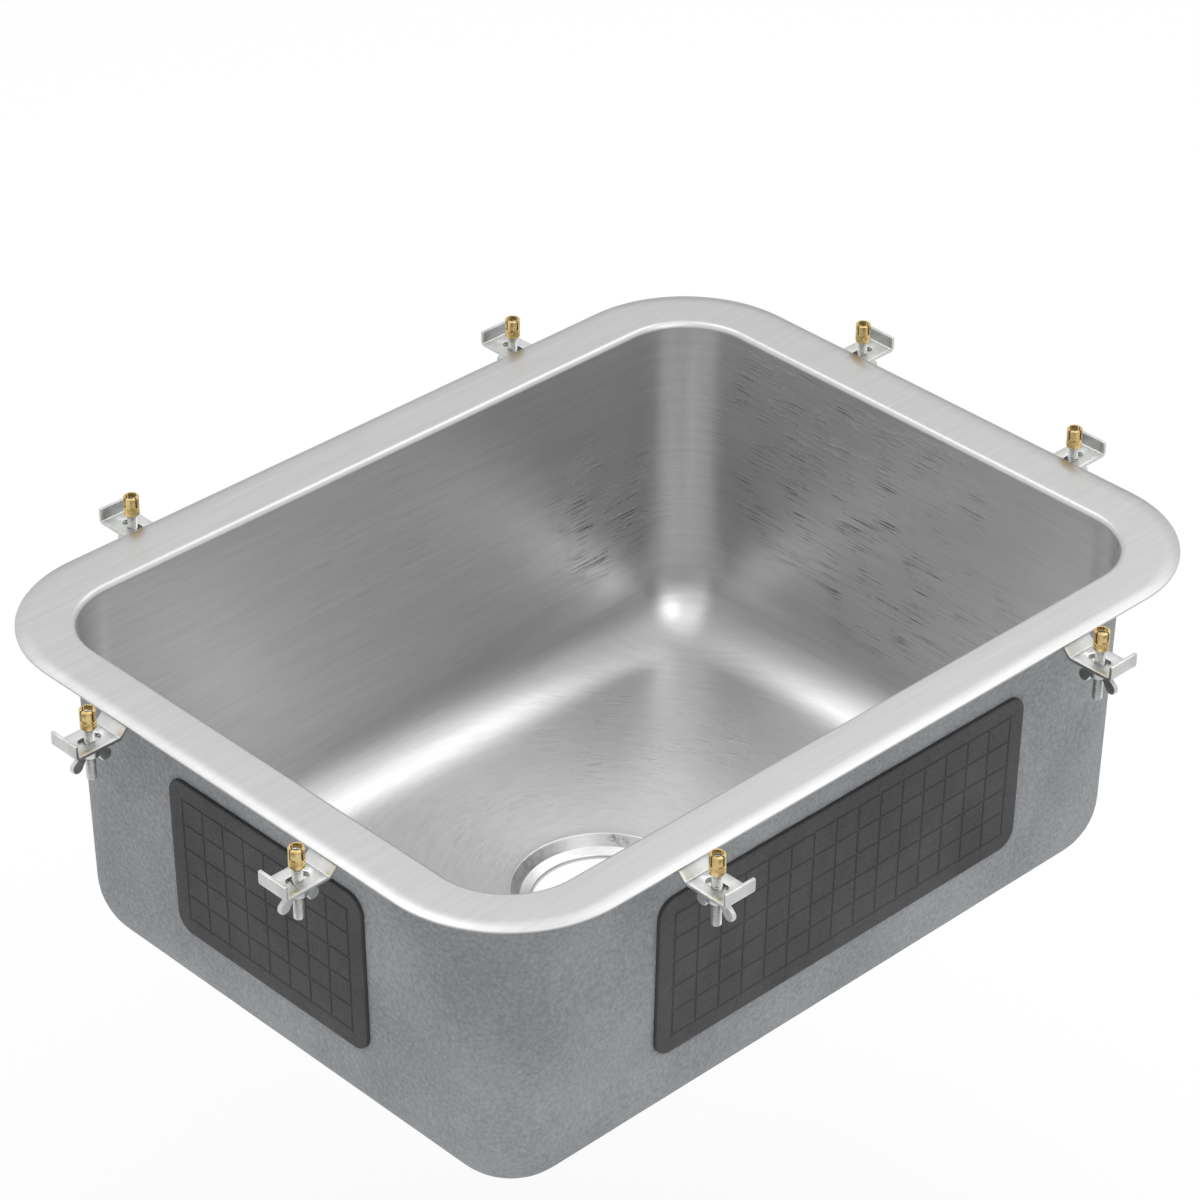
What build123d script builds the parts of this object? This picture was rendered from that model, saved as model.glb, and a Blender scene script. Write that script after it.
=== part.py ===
from build123d import *
import os
from math import atan2, radians, tan

# Undermount kitchen sink: one pressed stainless bowl with the kit that hangs it under a worktop.
# Origin: centre of the flange's top plane, which lies against the worktop's underside. +Z up,
# X along the long sides. All lengths in millimetres.

# ---- bowl ----
sheet = 1.2                  # stainless sheet (18 gauge)
mouth_length = 533.4         # mouth along X, measured where the flange turns down (21 in)
mouth_width = 400.05         # mouth along Y (15 3/4 in)
mouth_corner = 50.8          # corner radius of the mouth, in plan
lip_radius = 4.0             # outside radius of the bend from flange to wall
flange_width = 31.75         # flat flange, mouth to edge
wall_draft = 1.2             # degrees that the walls lean in
floor_depth = 223.0          # worktop's underside to the floor, at the walls
floor_fall = 3.0             # further fall of the floor to the drain
floor_rim = 6.0              # level strip between the bottom bend and the fall
bottom_radius = 44.0         # bend between walls and floor

# ---- drain opening (3 1/2 in, with a 4 1/2 in recess) ----
drain_hole_radius = 44.45
recess_top_radius = 57.15
recess_depth = 6.5
seat_width = 7.45            # flat ring that a strainer's flange sits on
drain_lip_length = 4.1       # turned-down edge of the hole, below the seat
drain_bend = 2.0             # outside radius of the bends round the drain

# ---- sound deadening on the outside ----
coat = 1.0                   # sprayed undercoat
coat_top_gap = 14.0          # bare strip below the flange
coat_drain_gap = 9.0         # bare ring round the recess
pad_thickness = 2.5          # rubber pads
pad_corner = 12.0
bottom_pad_drain_gap = 20.0  # recess to a bottom pad
bottom_pad_edge_gap = 16.0   # bottom pad to the bottom bend
wall_pad_end_gap = 66.0      # wall pad to the bowl's upright corners
wall_pad_top_gap = 52.0      # flange's top plane to a wall pad
wall_pad_bottom_gap = 17.0   # wall pad to the bottom bend

# ---- clamp stations, each a threaded insert, stud, clip, washer and wing nut ----
station_corner_gap = 60.0    # end of the flange's straight edge to a stud
stud_from_flange = 16.0      # flange edge to stud axis
thread_radius = 3.1          # 1/4-20 stud, over its crests
thread_fit = 0.075           # radial clearance of a threaded hole
hole_fit = 0.3               # radial clearance of a plain hole
stud_above = 10.5            # stud into the insert
stud_below = 34.5            # stud below the worktop's underside
stud_chamfer = 0.6
insert_radius = 4.7625       # drives into a 3/8 in hole
insert_length = 12.7
insert_chamfer = 0.5
insert_slit_width = 1.0      # crossed slits that let the top expand
insert_slit_length = 6.5
clip_sheet = 2.0
clip_width = 22.0
clip_toe_reach = 14.0        # toe under the flange
clip_toe_flat = 10.0
clip_step_run = 7.0          # sloping part between toe and middle
clip_middle_depth = 8.0      # worktop's underside to the clip's middle
clip_heel_reach = 34.0       # flange edge to the heel's outer face
clip_toe_corner = 4.0
clip_bend = 0.8              # inside radius of the clip's bends
clip_slot_length = 15.0
washer_radius = 8.0
washer_thickness = 1.6
nut_base_radius = 6.3
nut_base_height = 7.0
nut_base_taper = 6.0         # degrees
nut_span = 28.0              # over both wings
nut_height = 15.0
nut_wing_thickness = 2.8
nut_wing_tip_radius = 4.0
nut_wing_root_radius = 2.4
nut_wing_drop = 1.2          # top of the nut to the wings
nut_edge_round = 0.8

cut_past = 1.0               # how far a cut runs past the face it leaves by

os.makedirs("parts", exist_ok=True)


def save(part, name):
    part.label = name
    export_step(part, f"parts/{name}.step")


# ---- values that follow ----
flange_length = mouth_length + 2 * flange_width
flange_breadth = mouth_width + 2 * flange_width
flange_corner = mouth_corner + flange_width
wall_length = mouth_length - 2 * lip_radius       # inside of the walls at the top
wall_width = mouth_width - 2 * lip_radius
wall_corner = mouth_corner - lip_radius
wall_lean = floor_depth * tan(radians(wall_draft))
floor_reach_x = wall_length / 2 - wall_lean - bottom_radius
floor_reach_y = wall_width / 2 - wall_lean - bottom_radius
fall_radius = min(floor_reach_x, floor_reach_y) - floor_rim
drain_floor = floor_depth + floor_fall
seat_depth = drain_floor + recess_depth
drain_bottom = seat_depth + drain_lip_length
seat_radius = drain_hole_radius + seat_width
recess_lean = atan2(recess_top_radius - seat_radius, recess_depth)
recess_shift = tan(radians(45) - recess_lean / 2)  # sideways growth of the recess per unit of depth


def bowl_space(growth, hole_bottom):
    """The room inside the bowl, grown outwards on every side."""
    with BuildPart() as space:
        with BuildSketch():
            RectangleRounded(wall_length + 2 * growth, wall_width + 2 * growth, wall_corner + growth)
        extrude(amount=-(floor_depth + growth), taper=wall_draft)
        fillet(space.faces().sort_by(Axis.Z)[0].edges(), bottom_radius + growth)
        with BuildSketch(Plane.XZ):
            with BuildLine():
                Polyline(
                    (0, -floor_depth + bottom_radius / 2),
                    (fall_radius, -floor_depth + bottom_radius / 2),
                    (fall_radius, -floor_depth - growth),
                    (recess_top_radius + growth * recess_shift, -drain_floor - growth),
                    (seat_radius + growth * recess_shift, -seat_depth - growth),
                    (drain_hole_radius + growth, -seat_depth - growth),
                    (drain_hole_radius + growth, -hole_bottom),
                    (0, -hole_bottom),
                    close=True,
                )
            make_face()
        revolve(axis=Axis.Z)
    return space.part


inner_space = bowl_space(0, drain_bottom + cut_past)
steel_space = bowl_space(sheet, drain_bottom)
coat_space = bowl_space(sheet + coat, drain_bottom)
pad_space = bowl_space(sheet + coat + pad_thickness, drain_bottom)


def on_mouth(edge, depth):
    """True for an edge at this depth that lies inside the mouth's outline."""
    middle = edge.center()
    inside = abs(middle.X) < mouth_length / 2 and abs(middle.Y) < mouth_width / 2
    return inside and abs(middle.Z + depth) < 0.01


def on_circle(edge, radius, depth):
    """True for a whole circle about the drain's axis."""
    whole = edge.geom_type == GeomType.CIRCLE and abs(edge.radius - radius) < 0.01
    return whole and abs(edge.center().Z + depth) < 0.01


# bowl and flange, one pressing
with BuildPart() as bowl:
    add(steel_space)
    with BuildSketch():
        RectangleRounded(flange_length, flange_breadth, flange_corner)
    extrude(amount=-sheet)
    fillet(bowl.edges().filter_by(lambda e: on_mouth(e, sheet)), lip_radius - sheet)
    add(inner_space, mode=Mode.SUBTRACT)
    fillet(bowl.edges().filter_by(lambda e: on_mouth(e, 0)), lip_radius)
    # the bends round the drain: inside radius first, then the outside one over it
    drain_bends = (
        (recess_top_radius + sheet * recess_shift, drain_floor + sheet, drain_bend - sheet),
        (recess_top_radius, drain_floor, drain_bend),
        (seat_radius, seat_depth, drain_bend - sheet),
        (seat_radius + sheet * recess_shift, seat_depth + sheet, drain_bend),
        (drain_hole_radius + sheet, seat_depth + sheet, drain_bend - sheet),
        (drain_hole_radius, seat_depth, drain_bend),
    )
    for radius, depth, bend in drain_bends:
        fillet(bowl.edges().filter_by(lambda e: on_circle(e, radius, depth)), bend)
save(bowl.part, "bowl")

# sprayed undercoat, from below the flange to just short of the drain
with BuildPart() as undercoat:
    add(coat_space)
    add(steel_space, mode=Mode.SUBTRACT)
    with BuildSketch(Plane.XY.offset(-coat_top_gap)):
        Rectangle(flange_length, flange_breadth)
    extrude(amount=coat_top_gap + cut_past, mode=Mode.SUBTRACT)
    with BuildSketch(Plane.XY.offset(-drain_bottom - cut_past)):
        Circle(recess_top_radius + coat_drain_gap)
    extrude(amount=drain_bottom - floor_depth + 2 * cut_past, mode=Mode.SUBTRACT)
save(undercoat.part, "undercoat")


def sound_pad(plane, length, height, centre, reach):
    """A rubber pad that follows the coated sheet, cut out by a prism that stands on plane."""
    with BuildPart() as pad:
        with BuildSketch(plane):
            with Locations(centre):
                RectangleRounded(length, height, pad_corner)
        extrude(amount=reach)
        add(pad_space, mode=Mode.INTERSECT)
        add(coat_space, mode=Mode.SUBTRACT)
    return pad.part


bottom_pad_inner = recess_top_radius + bottom_pad_drain_gap
bottom_pad_length = floor_reach_x - bottom_pad_edge_gap - bottom_pad_inner
bottom_pad_width = 2 * (floor_reach_y - bottom_pad_edge_gap)
bottom_pad_x = bottom_pad_inner + bottom_pad_length / 2
above_floor = Plane.XY.offset(-floor_depth + bottom_radius / 2)
for name, x in (("bottom_pad_left", -bottom_pad_x), ("bottom_pad_right", bottom_pad_x)):
    save(sound_pad(above_floor, bottom_pad_length, bottom_pad_width, (x, 0), -bottom_radius), name)

wall_pad_height = floor_depth - bottom_radius - wall_pad_bottom_gap - wall_pad_top_gap
wall_pad_z = -wall_pad_top_gap - wall_pad_height / 2
long_pad_length = wall_length - 2 * (wall_corner + wall_pad_end_gap)
short_pad_length = wall_width - 2 * (wall_corner + wall_pad_end_gap)
for name, outward, pad_length in (
    ("back_pad", Vector(0, 1, 0), long_pad_length),
    ("front_pad", Vector(0, -1, 0), long_pad_length),
    ("right_pad", Vector(1, 0, 0), short_pad_length),
    ("left_pad", Vector(-1, 0, 0), short_pad_length),
):
    facing = Plane(origin=(0, 0, 0), x_dir=Vector(0, 0, 1).cross(outward), z_dir=outward)
    save(sound_pad(facing, pad_length, wall_pad_height, (0, wall_pad_z), flange_length), name)


# ---- clamp hardware, made once about its stud at the origin ----
# here X runs outwards from the bowl, Y along the flange edge, and Z = 0 is the flange's top plane
toe_x = -stud_from_flange - clip_toe_reach
heel_x = clip_heel_reach - stud_from_flange
step_start_x = toe_x + clip_toe_flat
step_end_x = step_start_x + clip_step_run
toe_top = -sheet
middle_top = -clip_middle_depth
middle_under = middle_top - clip_sheet
washer_under = middle_under - washer_thickness
thread_hole = thread_radius + thread_fit
plain_hole = thread_radius + hole_fit

# brass insert that is driven into the worktop, slit across its top
with BuildPart() as insert:
    with BuildSketch():
        Circle(insert_radius)
    extrude(amount=insert_length)
    chamfer(insert.edges().group_by(Axis.Z)[-1], insert_chamfer)
    with BuildSketch(Plane.XY.offset(insert_length)):
        Rectangle(2 * insert_radius + cut_past, insert_slit_width)
        Rectangle(insert_slit_width, 2 * insert_radius + cut_past)
    extrude(amount=-insert_slit_length, mode=Mode.SUBTRACT)
    Hole(thread_hole)

# threaded stud
with BuildPart() as stud:
    with BuildSketch(Plane.XY.offset(-stud_below)):
        Circle(thread_radius)
    extrude(amount=stud_below + stud_above)
    chamfer(stud.edges().group_by(Axis.Z)[0] + stud.edges().group_by(Axis.Z)[-1], stud_chamfer)

# bent clip: toe under the flange, slotted middle on the stud, heel against the worktop
step_drop = toe_top - middle_top
step_shift = clip_sheet * tan(atan2(step_drop, clip_step_run) / 2)  # underside corners lag the top ones
with BuildPart() as clip:
    with BuildSketch(Plane.XZ):
        with BuildLine():
            Polyline(
                (toe_x, toe_top),
                (step_start_x, toe_top),
                (step_end_x, middle_top),
                (heel_x - clip_sheet, middle_top),
                (heel_x - clip_sheet, 0),
                (heel_x, 0),
                (heel_x, middle_under),
                (step_end_x - step_shift, middle_under),
                (step_start_x - step_shift, toe_top - clip_sheet),
                (toe_x, toe_top - clip_sheet),
                close=True,
            )
        make_face()
    extrude(amount=clip_width / 2, both=True)
    fillet(clip.edges().filter_by(Axis.Z).group_by(Axis.X)[0], clip_toe_corner)
    clip_bends = (
        (step_start_x - step_shift, toe_top - clip_sheet, clip_bend),
        (step_end_x, middle_top, clip_bend),
        (heel_x - clip_sheet, middle_top, clip_bend),
        (step_start_x, toe_top, clip_bend + clip_sheet),
        (step_end_x - step_shift, middle_under, clip_bend + clip_sheet),
        (heel_x, middle_under, clip_bend + clip_sheet),
    )
    for x, z, bend in clip_bends:
        fillet(clip.edges().filter_by(Axis.Y).sort_by_distance((x, 0, z))[0], bend)
    with BuildSketch(Plane.XY.offset(middle_top)):
        SlotOverall(clip_slot_length, 2 * plain_hole)
    extrude(amount=-clip_sheet, mode=Mode.SUBTRACT)

# flat washer under the clip
with BuildPart() as washer:
    with BuildSketch(Plane.XY.offset(middle_under)):
        Circle(washer_radius)
        Circle(plain_hole, mode=Mode.SUBTRACT)
    extrude(amount=-washer_thickness)


def on_wing_rim(edge):
    """True for an edge round the flat side of a wing, clear of the nut's base."""
    middle = edge.center()
    return abs(abs(middle.Y) - nut_wing_thickness / 2) < 0.01 and abs(middle.X) > nut_base_radius


# wing nut, wings down: each wing is the hull of a round tip and a round root
wing_tip_x = nut_span / 2 - nut_wing_tip_radius
wing_tip_z = washer_under - nut_height + nut_wing_tip_radius
wing_root_x = nut_base_radius - nut_wing_root_radius
wing_root_z = washer_under - nut_wing_root_radius - nut_wing_drop
with BuildPart() as wing_nut:
    with BuildSketch(Plane.XY.offset(washer_under)):
        Circle(nut_base_radius)
    extrude(amount=-nut_base_height, taper=nut_base_taper)
    fillet(wing_nut.edges().group_by(Axis.Z)[0], nut_edge_round)
    for side in (-1, 1):
        with BuildSketch(Plane.XZ):
            with Locations((side * wing_tip_x, wing_tip_z)):
                Circle(nut_wing_tip_radius)
            with Locations((side * wing_root_x, wing_root_z)):
                Circle(nut_wing_root_radius)
            make_hull()
        extrude(amount=nut_wing_thickness / 2, both=True)
    fillet(wing_nut.edges().filter_by(on_wing_rim), nut_edge_round)
    with Locations((0, 0, washer_under)):
        Hole(thread_hole)

# ---- every station gets its own set ----
stud_x = flange_length / 2 + stud_from_flange
stud_y = flange_breadth / 2 + stud_from_flange
along_x = flange_length / 2 - flange_corner - station_corner_gap
along_y = flange_breadth / 2 - flange_corner - station_corner_gap
stations = {
    "back_left": (-along_x, stud_y, 90),
    "back_right": (along_x, stud_y, 90),
    "front_left": (-along_x, -stud_y, -90),
    "front_right": (along_x, -stud_y, -90),
    "left_back": (-stud_x, along_y, 180),
    "left_front": (-stud_x, -along_y, 180),
    "right_back": (stud_x, along_y, 0),
    "right_front": (stud_x, -along_y, 0),
}
hardware = {"insert": insert, "stud": stud, "clip": clip, "washer": washer, "wing_nut": wing_nut}
for station, (x, y, turn) in stations.items():
    for kind, piece in hardware.items():
        with BuildPart() as placed:
            with Locations(Location((x, y, 0), (0, 0, turn))):
                add(piece.part)
        save(placed.part, f"{kind}_{station}")
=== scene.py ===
import math
import bmesh
import bpy
import mathutils
from mathutils import Euler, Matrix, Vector


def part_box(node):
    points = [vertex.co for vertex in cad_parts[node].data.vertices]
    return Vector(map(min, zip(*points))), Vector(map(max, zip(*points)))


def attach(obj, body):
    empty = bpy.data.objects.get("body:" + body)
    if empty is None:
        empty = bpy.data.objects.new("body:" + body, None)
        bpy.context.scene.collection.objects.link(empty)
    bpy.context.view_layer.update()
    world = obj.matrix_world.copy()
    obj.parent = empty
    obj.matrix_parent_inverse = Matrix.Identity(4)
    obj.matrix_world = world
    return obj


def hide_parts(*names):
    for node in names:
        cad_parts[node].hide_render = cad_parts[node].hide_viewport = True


# Undermount kitchen sink, dressed round its CAD frame. Lengths are in metres.
mm = 0.001
tiny = 1e-9         # slack when two lengths are compared
mergeWithin = 1e-7  # points this close are one point

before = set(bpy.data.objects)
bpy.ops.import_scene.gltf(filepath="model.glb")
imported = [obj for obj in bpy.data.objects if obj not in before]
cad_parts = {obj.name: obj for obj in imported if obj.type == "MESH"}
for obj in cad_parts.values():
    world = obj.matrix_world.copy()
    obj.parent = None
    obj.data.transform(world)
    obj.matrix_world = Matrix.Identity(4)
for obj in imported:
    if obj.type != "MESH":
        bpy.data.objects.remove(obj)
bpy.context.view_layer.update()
stations = [name.removeprefix("stud_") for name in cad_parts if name.startswith("stud_")]
print(f"frame: {len(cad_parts)} nodes, {len(stations)} clamp stations")


# Small helpers for node materials.
def newMaterial(name):
    material = bpy.data.materials.new(name)
    material.use_nodes = True
    nodes = material.node_tree.nodes
    shader = nodes["Principled BSDF"]
    return material, nodes, material.node_tree.links, shader


def node(nodes, kind, **settings):
    made = nodes.new(kind)
    for key, value in settings.items():
        setattr(made, key, value)
    return made


def mathNode(nodes, links, operation, first, second=None):
    made = node(nodes, "ShaderNodeMath", operation=operation)
    for socket, value in zip(made.inputs, (first, second)):
        if value is None:
            continue
        if isinstance(value, (int, float)):
            socket.default_value = value
        else:
            links.new(value, socket)
    return made.outputs[0]


def product(nodes, links, *values):
    total = values[0]
    for value in values[1:]:
        total = mathNode(nodes, links, "MULTIPLY", total, value)
    return total


def mapRange(nodes, links, value, fromLow, fromHigh, toLow, toHigh, smooth=False):
    made = node(nodes, "ShaderNodeMapRange", interpolation_type="SMOOTHSTEP" if smooth else "LINEAR")
    links.new(value, made.inputs["Value"])
    limits = {"From Min": fromLow, "From Max": fromHigh, "To Min": toLow, "To Max": toHigh}
    for socket, number in limits.items():
        made.inputs[socket].default_value = number
    return made.outputs["Result"]


def mixValue(nodes, links, factor, first, second):
    made = node(nodes, "ShaderNodeMix", data_type="FLOAT")
    for socket, value in zip((made.inputs[0], made.inputs[2], made.inputs[3]), (factor, first, second)):
        if isinstance(value, (int, float)):
            socket.default_value = value
        else:
            links.new(value, socket)
    return made.outputs[0]


def mixColour(nodes, links, factor, first, second):
    made = node(nodes, "ShaderNodeMix", data_type="RGBA")
    links.new(factor, made.inputs[0])
    for socket, value in zip((made.inputs[6], made.inputs[7]), (first, second)):
        if isinstance(value, tuple):
            socket.default_value = (*value, 1)
        else:
            links.new(value, socket)
    return made.outputs[2]


noiseRange = (0.3, 0.7)     # the part of a noise texture's values that is used


def noise(nodes, links, vector, scale, detail, roughness=0.5):
    made = node(nodes, "ShaderNodeTexNoise")
    links.new(vector, made.inputs["Vector"])
    made.inputs["Scale"].default_value = scale
    made.inputs["Detail"].default_value = detail
    made.inputs["Roughness"].default_value = roughness
    return made.outputs["Fac"]


def bump(nodes, links, height, distance, under=None):
    made = node(nodes, "ShaderNodeBump")
    made.inputs["Distance"].default_value = distance
    links.new(height, made.inputs["Height"])
    if under is not None:
        links.new(under, made.inputs["Normal"])
    return made.outputs["Normal"]


# Brushed stainless steel: level strokes along the walls, round strokes about the drain.
steelLook = {
    "light": (0.62, 0.62, 0.62), "dark": (0.585, 0.585, 0.585),
    "roughness": (0.34, 0.37),       # between strokes, and in them
    "anisotropy": 0.47,
    "strokesPerMetre": 1400, "strokeStretch": 60,   # fineness across a stroke, and its length against that
    "roundStrokes": 5.0,             # strokes per radian round the drain
    "strokeDepth": 0.000005,
    # soft bands, wider than the strokes
    "streaksPerMetre": 260, "streakStretch": 22, "roundStreaks": 6.0,
    "streakRange": (0.35, 0.65), "streakShade": (1.025, 0.965),
    # how far the sheet faces up where the floor's strokes take over from the walls'
    "levelFacing": (0.55, 0.9),
    # the flange keeps the sheet's duller mill finish
    "flangeHeight": (-0.0022, -0.0012), "flangeShade": 0.84,
    "waveSize": 9.0, "waveDepth": 0.0009,           # slow unevenness of the pressed sheet
    "nicksPerMetre": 1150, "nickStretch": 44, "roundNicks": 11.0,   # short, deeper marks of the belt
    "nickDepth": 0.00016, "nickShade": 0.20, "nickShare": (0.53, 0.605),
    "nickHeight": (-0.008, -0.004), "strayNicks": 0.05,        # none at the mouth, a few outside the patches
    "looseSize": 38, "looseRange": (0.40, 0.62), "looseLeast": 0.15,   # a noise that breaks the patches up
    # where the belt bit: centre of the patch, its radius, and how much of it is marked
    "patches": (
        ((0.262, 0.105, -0.050), 0.085, 0.9), ((0.262, 0.050, -0.055), 0.095, 1.0),
        ((0.262, -0.030, -0.045), 0.075, 0.6), ((0.262, 0.015, -0.130), 0.080, 0.9),
        ((0.262, -0.060, -0.115), 0.070, 0.6), ((0.262, 0.100, -0.090), 0.080, 1.0),
        ((0.187, 0.196, -0.115), 0.070, 1.0),
        ((-0.262, -0.060, -0.085), 0.110, 0.9), ((-0.150, -0.196, -0.120), 0.100, 0.8),
        ((-0.010, 0.196, -0.060), 0.090, 0.2), ((0.130, 0.100, -0.224), 0.110, 0.3),
        ((0.000, 0.090, -0.224), 0.080, 0.2),
    ),
    "seatHeight": (-0.2305, -0.2295), "seatRoughness": 0.30,   # the drain's coined seat
    # painted shade darkens the recess's slope and the floor's edge round it, which also dims the highlight
    # of its top bend; the slope is smudged in places
    "slopeShade": 0.85, "slopeTop": (-0.2263, -0.2258), "slopeFoot": (-0.2326, -0.2318),
    "smudges": (
        ((0.0425, 0.0345, -0.2295), 0.0060, 0.8), ((0.0455, 0.0290, -0.2300), 0.0050, 0.6),
        ((-0.0140, 0.0500, -0.2305), 0.0120, 0.35), ((-0.0030, 0.0530, -0.2300), 0.0090, 0.25),
        ((0.0120, 0.0530, -0.2295), 0.0080, 0.20), ((-0.0300, 0.0440, -0.2305), 0.0110, 0.35),
    ),
    "smudgeGrain": 240, "smudgeRange": (0.38, 0.64), "smudgeShade": 0.30,
}
spotCore = 0.35     # share of a spot's radius that is fully marked


def strokeSpace(nodes, links, place, reach, across, stretch, around):
    # stretched spaces: level along X and Y for walls, round the drain for the floor, along X for the flange
    split = node(nodes, "ShaderNodeSeparateXYZ")
    links.new(place, split.inputs[0])
    x, y, z = split.outputs
    wall = node(nodes, "ShaderNodeCombineXYZ")
    for socket, value, count in zip(wall.inputs, (x, y, z), (across / stretch, across / stretch, across)):
        links.new(mathNode(nodes, links, "MULTIPLY", value, count), socket)
    floor = node(nodes, "ShaderNodeCombineXYZ")
    for socket, value in zip(floor.inputs, (x, y)):
        unit = mathNode(nodes, links, "DIVIDE", value, reach)
        links.new(mathNode(nodes, links, "MULTIPLY", unit, around), socket)
    links.new(mathNode(nodes, links, "MULTIPLY", reach, across), floor.inputs[2])
    flange = node(nodes, "ShaderNodeCombineXYZ")
    for socket, value, count in zip(flange.inputs, (x, y), (across / stretch, across)):
        links.new(mathNode(nodes, links, "MULTIPLY", value, count), socket)
    return wall.outputs[0], floor.outputs[0], flange.outputs[0]


def nearSpot(nodes, links, place, centre, radius, strength):
    away = node(nodes, "ShaderNodeVectorMath", operation="DISTANCE")
    links.new(place, away.inputs[0])
    away.inputs[1].default_value = centre
    return mapRange(nodes, links, away.outputs["Value"], radius * spotCore, radius, strength, 0, True)


def brightest(nodes, links, values):
    best = values[0]
    for value in values[1:]:
        best = mathNode(nodes, links, "MAXIMUM", best, value)
    return best


def brushedSteel():
    look = steelLook
    material, nodes, links, shader = newMaterial("brushedSteel")
    place = node(nodes, "ShaderNodeTexCoord").outputs["Object"]
    split = node(nodes, "ShaderNodeSeparateXYZ")
    links.new(place, split.inputs[0])
    x, y, z = split.outputs
    squares = mathNode(nodes, links, "ADD", product(nodes, links, x, x), product(nodes, links, y, y))
    reach = mathNode(nodes, links, "SQRT", squares)
    facing = node(nodes, "ShaderNodeSeparateXYZ")
    links.new(node(nodes, "ShaderNodeNewGeometry").outputs["True Normal"], facing.inputs[0])
    upright = mathNode(nodes, links, "ABSOLUTE", facing.outputs[2])
    level = mapRange(nodes, links, upright, *look["levelFacing"], 0, 1, True)
    onFlange = mapRange(nodes, links, z, *look["flangeHeight"], 0, 1, True)
    belowLip = mapRange(nodes, links, z, *look["nickHeight"], 1, 0, True)
    belowSlope = mapRange(nodes, links, z, *look["seatHeight"], 1, 0, True)
    # the recess's slope, where shade is painted and the smudges lie
    onSlope = product(nodes, links, mapRange(nodes, links, z, *look["slopeTop"], 1, 0, True),
                      mapRange(nodes, links, z, *look["slopeFoot"], 0, 1, True))

    def layered(across, stretch, around, detail, rough):
        spaces = strokeSpace(nodes, links, place, reach, across, stretch, around)
        walls, floor, flange = [noise(nodes, links, space, 1, detail, rough) for space in spaces]
        return mixValue(nodes, links, onFlange, mixValue(nodes, links, level, walls, floor), flange)

    strokes = layered(look["strokesPerMetre"], look["strokeStretch"], look["roundStrokes"], 3, 0.6)
    streaks = layered(look["streaksPerMetre"], look["streakStretch"], look["roundStreaks"], 2, 0.5)
    nicks = layered(look["nicksPerMetre"], look["nickStretch"], look["roundNicks"], 3, 0.6)

    # nicks stand in loose patches
    slowNoise = noise(nodes, links, place, look["looseSize"], 3, 0.65)
    loose = mapRange(nodes, links, slowNoise, *look["looseRange"], look["looseLeast"], 1.0, True)
    spots = [nearSpot(nodes, links, place, *patch) for patch in look["patches"]]
    marked = product(nodes, links, brightest(nodes, links, spots), loose)
    marked = product(nodes, links, mathNode(nodes, links, "MAXIMUM", marked, look["strayNicks"]), belowLip)
    bite = product(nodes, links, mapRange(nodes, links, nicks, *look["nickShare"], 0, 1, True), marked)

    smudges = [nearSpot(nodes, links, place, *smudge) for smudge in look["smudges"]]
    mottle = noise(nodes, links, place, look["smudgeGrain"], 2, 0.6)
    mottled = mapRange(nodes, links, mottle, *look["smudgeRange"], 0, 1, True)
    smudged = product(nodes, links, brightest(nodes, links, smudges), mottled, onSlope)

    tone = mapRange(nodes, links, strokes, *noiseRange, 0, 1)
    colour = mixColour(nodes, links, tone, look["light"], look["dark"])
    shade = product(
        nodes, links,
        mapRange(nodes, links, bite, 0, 1, 1, look["nickShade"]),
        mapRange(nodes, links, smudged, 0, 1, 1, look["smudgeShade"]),
        mapRange(nodes, links, streaks, *look["streakRange"], *look["streakShade"]),
        mapRange(nodes, links, onFlange, 0, 1, 1, look["flangeShade"]),
        # painted shade on the recess's slope
        mapRange(nodes, links, onSlope, 0, 1, 1, look["slopeShade"]),
    )
    darker = node(nodes, "ShaderNodeVectorMath", operation="SCALE")
    links.new(colour, darker.inputs[0])
    links.new(shade, darker.inputs["Scale"])
    links.new(darker.outputs[0], shader.inputs["Base Color"])

    rough = mapRange(nodes, links, strokes, *noiseRange, *look["roughness"])
    links.new(mixValue(nodes, links, belowSlope, rough, look["seatRoughness"]), shader.inputs["Roughness"])
    waves = noise(nodes, links, place, look["waveSize"], 1, 0.4)
    slow = bump(nodes, links, waves, look["waveDepth"])
    fine = bump(nodes, links, strokes, look["strokeDepth"], under=slow)
    links.new(bump(nodes, links, bite, look["nickDepth"], under=fine), shader.inputs["Normal"])

    # the strokes' direction, for the stretched gloss
    roundTangent = node(nodes, "ShaderNodeTangent", direction_type="RADIAL", axis="Z").outputs[0]
    along = node(nodes, "ShaderNodeMix", data_type="VECTOR")
    links.new(onFlange, along.inputs[0])
    links.new(roundTangent, along.inputs[4])
    along.inputs[5].default_value = (1, 0, 0)
    links.new(along.outputs[1], shader.inputs["Tangent"])
    shader.inputs["Metallic"].default_value = 1.0
    shader.inputs["Anisotropic"].default_value = look["anisotropy"]
    shader.inputs["Anisotropic Rotation"].default_value = 0.25     # a quarter turn, across the strokes
    return material


# Sprayed undercoat, rubber, brass and zinc.
coatLook = {
    "light": (0.30, 0.31, 0.32), "dark": (0.19, 0.20, 0.21),
    "pebble": 420, "pebbleDepth": 0.0006, "clouds": 14, "toneRange": (0.7, 1.3), "roughness": (0.85, 0.62),
    "droplets": 300, "dropletDepth": 0.0007, "dropletEdge": 0.75,
}
rubberLook = {
    "light": (0.050, 0.050, 0.053), "dark": (0.030, 0.030, 0.032),
    "dust": 22, "dustRange": (0.35, 0.7), "grain": 900, "grainDepth": 0.00015, "roughness": (0.55, 0.8),
}
# one bloom of the plating is as wide as some grains
metalBloom = {"grains": 6, "range": (0.35, 0.65), "grainDepth": 0.00003}
brassLook = {
    "light": (0.78, 0.60, 0.29), "dark": (0.55, 0.40, 0.17),
    "grain": 600, "roughness": (0.24, 0.42),
}
zincLook = {
    "light": (0.66, 0.67, 0.66), "dark": (0.50, 0.51, 0.50),
    "grain": 260, "roughness": (0.26, 0.46),
}


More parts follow.
